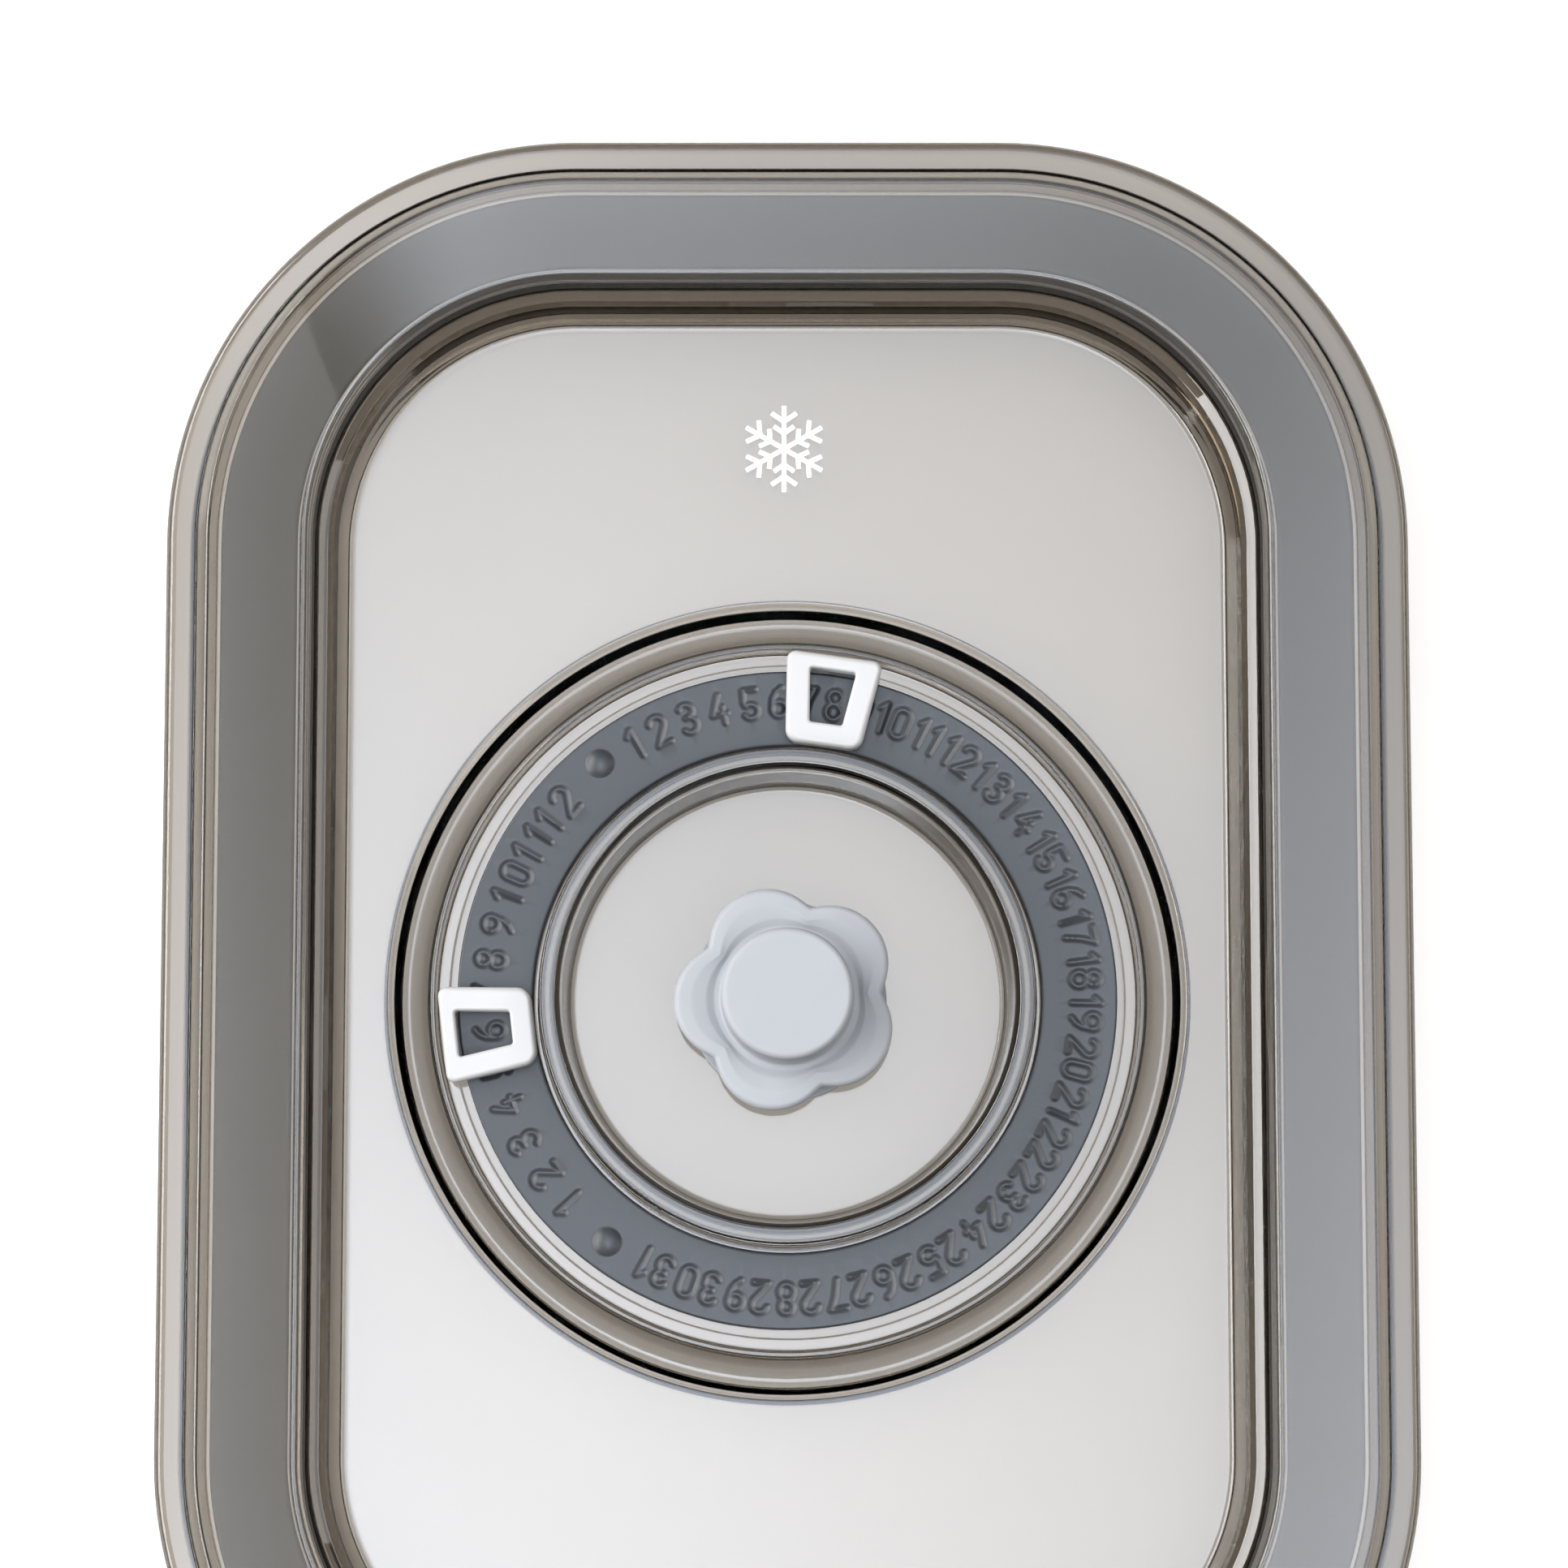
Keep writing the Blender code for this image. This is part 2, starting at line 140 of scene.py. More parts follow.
def mesh_object(name: str, points: np.ndarray, faces: Iterable[Sequence[int]]) -> bpy.types.Object:
    """Make a smooth-shaded mesh object from points in millimetres.

    Args:
        name: the object's name.
        points: an (n, 3) array, in millimetres.
        faces: corner indices of each face.

    Returns:
        The object, linked to the scene, its faces turned outwards.
    """
    mesh = bpy.data.meshes.new(name)
    mesh.from_pydata((points * MM).tolist(), [], list(faces))
    work = bmesh.new()
    work.from_mesh(mesh)
    bmesh.ops.recalc_face_normals(work, faces=work.faces)
    work.to_mesh(mesh)
    work.free()
    mesh.shade_smooth()
    obj = bpy.data.objects.new(name, mesh)
    bpy.context.scene.collection.objects.link(obj)
    return obj


def lofted(name: str, rings: Sequence[np.ndarray], ends: Ends) -> bpy.types.Object:
    """Skin a run of closed rings with the same number of points each.

    Args:
        name: the object's name.
        rings: (n, 3) arrays of points in millimetres.
        ends: how the run is finished.

    Returns:
        The closed mesh object.
    """
    around = len(rings[0])
    points = [np.asarray(ring) for ring in rings]
    faces: list[list[int]] = []
    pairs = len(rings) if ends is Ends.LOOP else len(rings) - 1
    for i in range(pairs):
        low = i * around
        high = (i + 1) % len(rings) * around
        for k in range(around):
            nxt = (k + 1) % around
            faces.append([low + k, low + nxt, high + nxt, high + k])
    if ends is Ends.POLES:
        first = len(rings) * around
        points.append(points[0].mean(axis=0, keepdims=True))
        points.append(points[-2].mean(axis=0, keepdims=True))
        last_ring = (len(rings) - 1) * around
        for k in range(around):
            nxt = (k + 1) % around
            faces.append([first, nxt, k])
            faces.append([first + 1, last_ring + k, last_ring + nxt])
    return mesh_object(name, np.concatenate(points), faces)


def circle(radius: float, z: float, angles: np.ndarray) -> np.ndarray:
    """Points of a level circle at these angles, anticlockwise from +X."""
    return np.stack([radius * np.cos(angles), radius * np.sin(angles), np.full(len(angles), z)], axis=1)


def at_azimuth(radius: float, azimuth: float) -> tuple[float, float]:
    """The (x, y) point at this radius, with azimuth in degrees clockwise from +Y."""
    angle = math.radians(azimuth)
    return radius * math.sin(angle), radius * math.cos(angle)


def rounded_polygon(
    corners: Sequence[tuple[float, float]], radii: Sequence[float], steps: int
) -> np.ndarray:
    """Round the corners of a convex polygon.

    Args:
        corners: the polygon's corners in order.
        radii: each corner's radius.
        steps: segments in each rounded corner.

    Returns:
        An (n, 2) array with the same number of points for each corner.
    """
    points: list[np.ndarray] = []
    count = len(corners)
    for i in range(count):
        here = np.array(corners[i])
        into = np.array(corners[i - 1]) - here
        out = np.array(corners[(i + 1) % count]) - here
        into = into / np.linalg.norm(into)
        out = out / np.linalg.norm(out)
        half = 0.5 * math.acos(float(into @ out))
        middle = (into + out) / np.linalg.norm(into + out)
        centre = here + middle * radii[i] / math.sin(half)
        first = here + into * radii[i] / math.tan(half) - centre
        last = here + out * radii[i] / math.tan(half) - centre
        start = math.atan2(first[1], first[0])
        sweep = (math.atan2(last[1], last[0]) - start + math.pi) % math.tau - math.pi
        for step in range(steps + 1):
            angle = start + sweep * step / steps
            points.append(centre + radii[i] * np.array((math.cos(angle), math.sin(angle))))
    return np.array(points)


def crease(obj: bpy.types.Object, angle: float) -> None:
    """Keep edges sharper than this angle, in degrees, sharp in the shading."""
    obj.data.set_sharp_from_angle(angle=math.radians(angle))


# ---------------------------------------------------------------- finishes


def linear(code: str) -> tuple[float, float, float, float]:
    """Turn an sRGB hex colour into a linear one.

    Args:
        code: six hex digits after a #.

    Returns:
        Red, green, blue and a full alpha, linear.
    """
    values = [int(code[i : i + 2], 16) / 255.0 for i in (1, 3, 5)]
    red, green, blue = (v / 12.92 if v <= 0.04045 else ((v + 0.055) / 1.055) ** 2.4 for v in values)
    return red, green, blue, 1.0


def add_node(
    tree: bpy.types.NodeTree,
    kind: str,
    settings: dict[str | int, object] | None = None,
    links: dict[str | int, bpy.types.NodeSocket] | None = None,
    **options: object,
) -> bpy.types.Node:
    """Add a node with its settings and links.

    Args:
        tree: the tree it goes in.
        kind: Blender's name for the kind of node.
        settings: input name, or its number where names repeat, to value.
        links: the same, to the output that feeds it.
        options: the node's own properties.

    Returns:
        The node.
    """
    node = tree.nodes.new(kind)
    for name, value in options.items():
        setattr(node, name, value)
    for name, value in (settings or {}).items():
        node.inputs[name].default_value = value
    for name, output in (links or {}).items():
        tree.links.new(output, node.inputs[name])
    return node


def start_material(
    name: str,
) -> tuple[bpy.types.Material, bpy.types.NodeTree, bpy.types.Node, bpy.types.Node]:
    """Begin a material with only its output and a coordinate node.

    Args:
        name: the material's name.

    Returns:
        The material, its tree, the output node and the coordinate node.
    """
    material = bpy.data.materials.new(name)
    material.use_nodes = True
    tree = material.node_tree
    tree.nodes.clear()
    output = tree.nodes.new("ShaderNodeOutputMaterial")
    coordinates = tree.nodes.new("ShaderNodeTexCoord")
    return material, tree, output, coordinates


@dataclass(frozen=True)
class SmokeCopolyester:
    """Clear copolyester with a smoke tint, injection moulded in a polished tool.

    The eye sees hard, bright edges, a grey-brown that deepens where light runs along a wall, and a
    very slight ripple in what is mirrored, left by the flow of the melt.
    """

    tint: str = "#b7aea1"
    absorption: float = 600.0
    ior: float = 1.57
    roughness: float = 0.02
    ripple_mm: float = 14.0
    ripple_depth_mm: float = 0.004

    def material(self) -> bpy.types.Material:
        """Build the clear moulding's material.

        Returns:
            The material, with its tint in the volume.
        """
        material, tree, output, coordinates = start_material("smoke_copolyester_moulded")
        ripple = add_node(
            tree,
            "ShaderNodeTexNoise",
            {"Scale": 1.0 / (self.ripple_mm * MM), "Detail": 1.0, "Roughness": 0.4},
            {"Vector": coordinates.outputs["Object"]},
        )
        bump = add_node(
            tree,
            "ShaderNodeBump",
            {"Strength": 1.0, "Distance": self.ripple_depth_mm * MM},
            {"Height": ripple.outputs["Fac"]},
        )
        shader = add_node(
            tree,
            "ShaderNodeBsdfPrincipled",
            {
                "Base Color": (1.0, 1.0, 1.0, 1.0),
                "Roughness": self.roughness,
                "IOR": self.ior,
                "Transmission Weight": 1.0,
            },
            {"Normal": bump.outputs["Normal"]},
        )
        volume = add_node(
            tree,
            "ShaderNodeVolumeAbsorption",
            {"Color": linear(self.tint), "Density": self.absorption},
        )
        tree.links.new(shader.outputs["BSDF"], output.inputs["Surface"])
        tree.links.new(volume.outputs["Volume"], output.inputs["Volume"])
        return material


@dataclass(frozen=True)
class SatinPolymer:
    """An opaque moulded polymer with a fine spark-eroded texture and faint colour clouds."""

    name: str
    colour: str
    shade: str
    roughness: float
    ior: float
    grain_mm: float
    grain_depth_mm: float
    cloud_mm: float
    softness_mm: float = 0.0

    def material(self) -> bpy.types.Material:
        """Build the polymer's material.

        Returns:
            The material.
        """
        material, tree, output, coordinates = start_material(self.name)
        place = coordinates.outputs["Object"]
        cloud = add_node(
            tree,
            "ShaderNodeTexNoise",
            {"Scale": 1.0 / (self.cloud_mm * MM), "Detail": 3.0, "Roughness": 0.55},
            {"Vector": place},
        )
        colour = add_node(
            tree,
            "ShaderNodeMix",
            {6: linear(self.shade), 7: linear(self.colour)},
            {0: cloud.outputs["Fac"]},
            data_type="RGBA",
        )
        grain = add_node(
            tree,
            "ShaderNodeTexNoise",
            {"Scale": 1.0 / (self.grain_mm * MM), "Detail": 2.0, "Roughness": 0.6},
            {"Vector": place},
        )
        gloss = add_node(
            tree,
            "ShaderNodeMapRange",
            {
                "From Min": 0.3,
                "From Max": 0.7,
                "To Min": self.roughness - 0.05,
                "To Max": self.roughness + 0.05,
            },
            {"Value": grain.outputs["Fac"]},
        )
        bump = add_node(
            tree,
            "ShaderNodeBump",
            {"Strength": 1.0, "Distance": self.grain_depth_mm * MM},
            {"Height": grain.outputs["Fac"]},
        )
        shader = add_node(
            tree,
            "ShaderNodeBsdfPrincipled",
            {"IOR": self.ior},
            {
                "Base Color": colour.outputs[2],
                "Roughness": gloss.outputs["Result"],
                "Normal": bump.outputs["Normal"],
            },
        )
        if self.softness_mm > 0.0:
            shader.inputs["Subsurface Weight"].default_value = 0.4
            shader.inputs["Subsurface Radius"].default_value = (1.0, 0.95, 0.9)
            shader.inputs["Subsurface Scale"].default_value = self.softness_mm * MM
        tree.links.new(shader.outputs["BSDF"], output.inputs["Surface"])
        return material


# Moulded in a blasted tool: an even grey with no mirror, seen through the flange.
SEAL_SILICONE = SatinPolymer(
    name="seal_silicone_moulded",
    colour="#8e9091",
    shade="#888a8b",
    roughness=0.5,
    ior=1.42,
    grain_mm=0.25,
    grain_depth_mm=0.004,
    cloud_mm=8.0,
)

# Moulded in a spark-eroded tool: a dull sheen that picks out the walls of the figures.
SLATE_ABS = SatinPolymer(
    name="slate_abs_spark_textured",
    colour="#35393e",
    shade="#303439",
    roughness=0.42,
    ior=1.52,
    grain_mm=0.12,
    grain_depth_mm=0.006,
    cloud_mm=6.0,
)

# Moulded in a semi-polished tool: waxy white with soft edges, since light goes a little way in.
WHITE_ACETAL = SatinPolymer(
    name="white_acetal_moulded",
    colour="#cbcbcd",
    shade="#c7c7c9",
    roughness=0.35,
    ior=1.48,
    grain_mm=0.15,
    grain_depth_mm=0.003,
    cloud_mm=5.0,
    softness_mm=0.6,
)

# Cast in a matt tool: a cool, powdery grey that glows slightly at its edges.
VALVE_SILICONE = SatinPolymer(
    name="valve_silicone_matt",
    colour="#b0b4ba",
    shade="#abafb5",
    roughness=0.55,
    ior=1.41,
    grain_mm=0.2,
    grain_depth_mm=0.004,
    cloud_mm=5.0,
    softness_mm=1.0,
)

# Pad-printed ink: a flat, dense white with no visible thickness.
WHITE_INK = SatinPolymer(
    name="white_ink_pad_printed",
    colour="#ffffff",
    shade="#fafafa",
    roughness=0.5,
    ior=1.5,
    grain_mm=0.1,
    grain_depth_mm=0.001,
    cloud_mm=2.0,
)


# ---------------------------------------------------------------- the clear moulding


@dataclass
class ClearShell:
    """The one clear moulding: skirt, lip, flange, panel, dial and pump well."""

    half_width: float
    half_length: float
    height: float
    finish: SmokeCopolyester
    corner_radius: float = 36.0
    panel_top: float = 10.0
    panel_bottom: float = 8.0
    well_floor: float = 5.4
    well_bottom: float = 3.2
    ridge_top: float = 14.2
    moat_floor: float = 7.2
    long_steps: int = 24
    corner_steps: int = 36
    short_steps: int = 12
    zone_edge: float = 37.0
    stem_hole: float = 1.75
    well_radius: float = 19.25
    ridge_radius: float = 21.7
    groove_inner: float = 29.8
    groove_outer: float = 30.9
    moat_radius: float = 33.4
    hole_radius: float = 35.05
    flange_bottom: float = 13.8
    channel_lip: float = 12.2
    panel_inset: float = 16.0

    def outline(self, inset: float, z: float) -> np.ndarray:
        """The lid's rounded outline moved in by inset, anticlockwise from the middle of +X.

        Args:
            inset: how far in from the lid's edge.
            z: height of the ring.

        Returns:
            An (n, 3) array. Rings at any inset have matching points.
        """
        radius = self.corner_radius - inset
        straight_x = self.half_width - self.corner_radius
        straight_y = self.half_length - self.corner_radius
        side = self.half_width - inset
        end = self.half_length - inset
        quarter: list[tuple[float, float]] = []
        for step in range(self.long_steps):
            quarter.append((side, straight_y * step / self.long_steps))
        for step in range(self.corner_steps):
            angle = 0.5 * math.pi * step / self.corner_steps
            x = straight_x + radius * math.cos(angle)
            quarter.append((x, straight_y + radius * math.sin(angle)))
        for step in range(self.short_steps):
            quarter.append((straight_x * (1.0 - step / self.short_steps), end))
        first = np.array(quarter)
        top = np.array([(0.0, end)])
        second = np.stack([-first[:0:-1, 0], first[:0:-1, 1]], axis=1)
        upper = np.concatenate([first, top, second])
        whole = np.concatenate([upper, -upper])
        return np.column_stack([whole, np.full(len(whole), z)])

    def section(self) -> list[Corner]:
        """The moulding's section from the stem hole out over the top and back underneath.

        Returns:
            The section's corners, each by its distance from the dial's axis.
        """
        w = self.half_width
        h = self.height
        top = self.panel_top
        low = self.panel_bottom
        return [
            # Floor of the pump well, and the ridge round it.
            Corner(self.stem_hole, self.well_floor, 0.1),
            Corner(self.well_radius, self.well_floor, 0.5),
            Corner(self.well_radius + 0.65, self.ridge_top - 0.7, 0.8),
            Corner(self.ridge_radius - 1.4, self.ridge_top, 0.3),
            Corner(self.ridge_radius, self.ridge_top, 0.25),
            # Seat of the date ring, the windows' groove and the lip outside it.
            Corner(self.ridge_radius + 0.1, low, 0.2),
            Corner(self.groove_inner - 0.05, low, 0.08),
            Corner(self.groove_inner + 0.05, low - 0.3, 0.08),
            Corner(self.groove_outer - 0.05, low - 0.3, 0.2),
            Corner(self.groove_outer + 0.05, top + 0.1, 0.12),
            Corner(self.groove_outer + 0.45, top + 0.1, 0.2),
            # Moat round the dial.
            Corner(self.moat_radius - 0.25, self.moat_floor, 0.35),
            Corner(self.moat_radius + 0.25, self.moat_floor, 0.3),
            Corner(self.hole_radius, top, 0.3),
            # Panel's edge, inner wall and sloping flange.
            Corner(w - 15.9, top, 0.8),
            Corner(w - 14.6, top + 2.3, 0.3),
            Corner(w - 14.2, h - 3.2, 0.2),
            Corner(w - 13.35, h - 2.7, 0.25),
            Corner(w - 12.5, h, 0.5),
            # Step down to the thick outer lip, and round under it.
            Corner(w - 3.7, h - 0.5, 0.4),
            Corner(w - 2.7, h - 1.4, 0.2),
            Corner(w, h - 1.4, 0.9),
            Corner(w - 0.1, h - 5.4, 0.8),
            Corner(w - 2.2, h - 5.4, 0.4),
            # Skirt, down to its resting edge and up inside.
            Corner(w - 2.3, 0.0, 0.25),
            Corner(w - 3.4, 0.0, 0.25),
            Corner(w - 3.5, self.channel_lip - 0.3, 0.3),
            # Channel of the seal, and the foot of the inner wall.
            Corner(w - 3.8, self.channel_lip, 0.1),
            Corner(w - 4.5, self.channel_lip, 0.1),
            Corner(w - 4.6, self.flange_bottom, 0.1),
            Corner(w - 12.0, self.flange_bottom, 0.3),
            Corner(w - 12.6, low - 0.8, 0.4),
            Corner(w - 14.6, low - 0.8, 0.4),
            Corner(w - 14.9, low, 0.4),
            # Underside of the moat, the ring seat, the hollow ridge and the well.
            Corner(self.hole_radius + 0.4, low, 0.3),
            Corner(self.moat_radius + 1.7, low - 2.1, 0.4),
            Corner(self.moat_radius + 1.0, low - 2.9, 0.5),
            Corner(self.moat_radius - 1.2, low - 2.9, 0.5),
            Corner(self.groove_outer + 0.3, low - 2.2, 0.5),
            Corner(self.ridge_radius + 0.3, low - 2.2, 0.4),
            Corner(self.ridge_radius - 0.4, self.ridge_top - 3.2, 0.2),
            Corner(self.ridge_radius - 1.0, self.ridge_top - 3.2, 0.2),
            Corner(self.well_radius + 1.25, self.well_bottom, 0.4),
            Corner(self.stem_hole, self.well_bottom, 0.1),
        ]

    def ring(self, x: float, z: float, angles: np.ndarray) -> np.ndarray:
        """One ring of the skin: a circle near the dial, the lid's outline near the rim.

        Args:
            x: distance from the dial's axis, across the lid.
            z: height of the ring.
            angles: directions of a circle's points.

        Returns:
            An (n, 3) array of points.
        """
        if x < self.zone_edge:
            return circle(x, z, angles)
        return self.outline(self.half_width - x, z)

    def build(self) -> bpy.types.Object:
        """Make the moulding and dress it.

        Returns:
            The finished piece.
        """
        panel_edge = self.outline(self.panel_inset, 0.0)
        angles = np.unwrap(np.arctan2(panel_edge[:, 1], panel_edge[:, 0]))
        rings = [self.ring(x, z, angles) for x, z in filleted(self.section(), True)]
        shell = lofted("clear_moulding", rings, Ends.LOOP)
        shell.data.materials.append(self.finish.material())
        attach(shell, "lid")
        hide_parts("lid_shell")
        return shell


# ---------------------------------------------------------------- the seal


@dataclass
class RimSeal:
    """The soft seal in the channel under the flange."""

    shell: ClearShell
    finish: SatinPolymer
    outer_inset: float
    inner_inset: float
    top: float
    bottom: float
    rib: float = 0.7

    def section(self) -> list[Corner]:
        """The seal's section, with two sealing ribs underneath.

        Returns:
            The section's corners.
        """
        out = self.shell.half_width - self.outer_inset
        inn = self.shell.half_width - self.inner_inset
        base = self.bottom + self.rib
        return [
            Corner(inn, base, 0.15),
            Corner(inn, self.top, 0.35),
            Corner(out, self.top, 0.35),
            Corner(out, base, 0.15),
            Corner(out - 1.0, base, 0.15),
            Corner(out - 1.3, self.bottom, 0.15),
            Corner(out - 1.7, self.bottom, 0.15),
            Corner(out - 2.0, base, 0.15),
            Corner(inn + 2.0, base, 0.15),
            Corner(inn + 1.7, self.bottom, 0.15),
            Corner(inn + 1.3, self.bottom, 0.15),
            Corner(inn + 1.0, base, 0.15),
        ]

    def build(self) -> bpy.types.Object:
        """Make the seal and dress it.

        Returns:
            The finished piece.
        """
        points = filleted(self.section(), True, 30.0)
        rings = [self.shell.outline(self.shell.half_width - x, z) for x, z in points]
        seal = lofted("rim_seal", rings, Ends.LOOP)
        seal.data.materials.append(self.finish.material())
        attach(seal, "lid")
        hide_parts("perimeter_seal")
        return seal


# ---------------------------------------------------------------- the date ring


Stroke = list[tuple[float, float]]


def arc(cx: float, cy: float, rx: float, ry: float, start: float, end: float) -> Stroke:
    """Points of an elliptical arc.

    Args:
        cx: the centre, along the ring.
        cy: the centre, outwards.
        rx: half the arc's width.
        ry: half the arc's height.
        start: first angle, in degrees anticlockwise from the right.
        end: last angle.

    Returns:
        The arc's points in order.
    """
    steps = max(3, math.ceil(abs(end - start) / 15.0))
    angles = [math.radians(start + (end - start) * i / steps) for i in range(steps + 1)]
    return [(cx + rx * math.cos(a), cy + ry * math.sin(a)) for a in angles]


@dataclass(frozen=True)
class Numerals:
    """Round-ended engraved figures, drawn by the centre lines of their strokes."""

    height: float = 2.55
    width: float = 1.32
    stroke: float = 0.4
    advance: float = 2.1
    advance_one: float = 1.4
    advance_four: float = 2.45

    def glyph(self, figure: str) -> list[Stroke]:
        """Centre lines of one figure, about its own middle.

        Args:
            figure: a digit.

        Returns:
            The figure's strokes.
        """
        w = 0.5 * self.width
        h = 0.5 * self.height
        up = 0.46 * self.height * 0.5
        shapes: dict[str, list[Stroke]] = {
            "0": [arc(0, h - w, w, w, 0, 180) + arc(0, w - h, w, w, 180, 360) + [(w, h - w)]],
            "1": [[(-0.45 * w, h - 0.5), (0.25 * w, h), (0.25 * w, -h)]],
            "2": [arc(0, h - w, w, w, 165, -35) + [(-w, -h), (w, -h)]],
            "3": [
                arc(0, h - up, 0.9 * w, up, 150, -90)[:-1] + [(0.0, h - 2 * up)],
                [(-0.25 * w, h - 2 * up)] + arc(0, (h - 2 * up - h) / 2, w, (2 * h - 2 * up) / 2, 90, -150),
            ],
            "4": [[(0.2 * w, h), (-w, -0.35 * h), (w, -0.35 * h)], [(0.5 * w, 0.15 * h), (0.5 * w, -h)]],
            "5": [
                [(0.85 * w, h), (-0.75 * w, h), (-0.85 * w, 0.12 * h)]
                + arc(0, -h + 0.85 * w + 0.05 * h, w, 0.85 * w + 0.05 * h, 130, -150)
            ],
            "6": [
                arc(0, w - h, w, w, 0, 360),
                [(-w, w - h), (-0.8 * w, 0.25 * h), (-0.35 * w, 0.7 * h), (0.35 * w, h)],
            ],
            "7": [[(-w, h), (w, h), (0.25 * w, 0.1 * h), (-0.3 * w, -h)]],
            "8": [arc(0, h - up, 0.85 * w, up, 0, 360), arc(0, -up, w, h - up, 0, 360)],
            "9": [
                arc(0, h - w, w, w, 0, 360),
                [(w, h - w), (0.8 * w, -0.25 * h), (0.35 * w, -0.7 * h), (-0.35 * w, -h)],
            ],
        }
        return shapes[figure]

    def room(self, figure: str, tracking: float) -> float:
        """How much room one figure takes along the ring, with this much added between figures."""
        return {"1": self.advance_one, "4": self.advance_four}.get(figure, self.advance) + tracking

    def span(self, number: int, tracking: float) -> float:
        """How much room all of a number's figures take along the ring."""
        return sum(self.room(figure, tracking) for figure in str(number))

    def depth(self, number: int, tracking: float, across: np.ndarray, up: np.ndarray) -> np.ndarray:
        """How deep a number is cut at points round its own middle.

        Args:
            number: the number.
            tracking: extra room for each figure.
            across: the points' places along the ring.
            up: the points' places outwards from the number's middle.

        Returns:
            A share from 0, outside the strokes, to 1, on their centre lines.
        """
        nearest = np.full(across.shape, 1e9)
        pen = -0.5 * self.span(number, tracking)
        for figure in str(number):
            room = self.room(figure, tracking)
            middle = pen + 0.5 * room
            pen += room
            for stroke in self.glyph(figure):
                for (ax, ay), (bx, by) in zip(stroke, stroke[1:]):
                    dx, dy = bx - ax, by - ay
                    px, py = across - middle - ax, up - ay
                    share = np.clip((px * dx + py * dy) / (dx * dx + dy * dy + 1e-12), 0.0, 1.0)
                    nearest = np.minimum(nearest, np.hypot(px - share * dx, py - share * dy))
        return np.clip(1.0 - nearest / self.stroke, 0.0, 1.0)


@dataclass(frozen=True)
class Scale:
    """One scale of the dial: numbers spread from one azimuth to another, clockwise.

    The gaps between one-figure numbers change evenly from the first to the last of them.
    """

    last: int
    start: float
    end: float
    first_gap: float
    last_gap: float
    double_gap: float
    tracking: float = 0.0

    def azimuths(self, numerals: Numerals) -> list[float]:
        """Each number's azimuth, spaced by the room that its figures take.

        Args:
            numerals: the figures' sizes.

        Returns:
            One azimuth for each number, in degrees clockwise from +Y.
        """
        places = [0.0]
        for number in range(2, self.last + 1):
            share = (number - 2) / 8.0
            gap = self.double_gap
            if share <= 1.0:
                gap = self.first_gap + (self.last_gap - self.first_gap) * share
            spans = numerals.span(number - 1, self.tracking) + numerals.span(number, self.tracking)
            places.append(places[-1] + gap + 0.5 * spans)
        return [self.start + (self.end - self.start) * place / places[-1] for place in places]


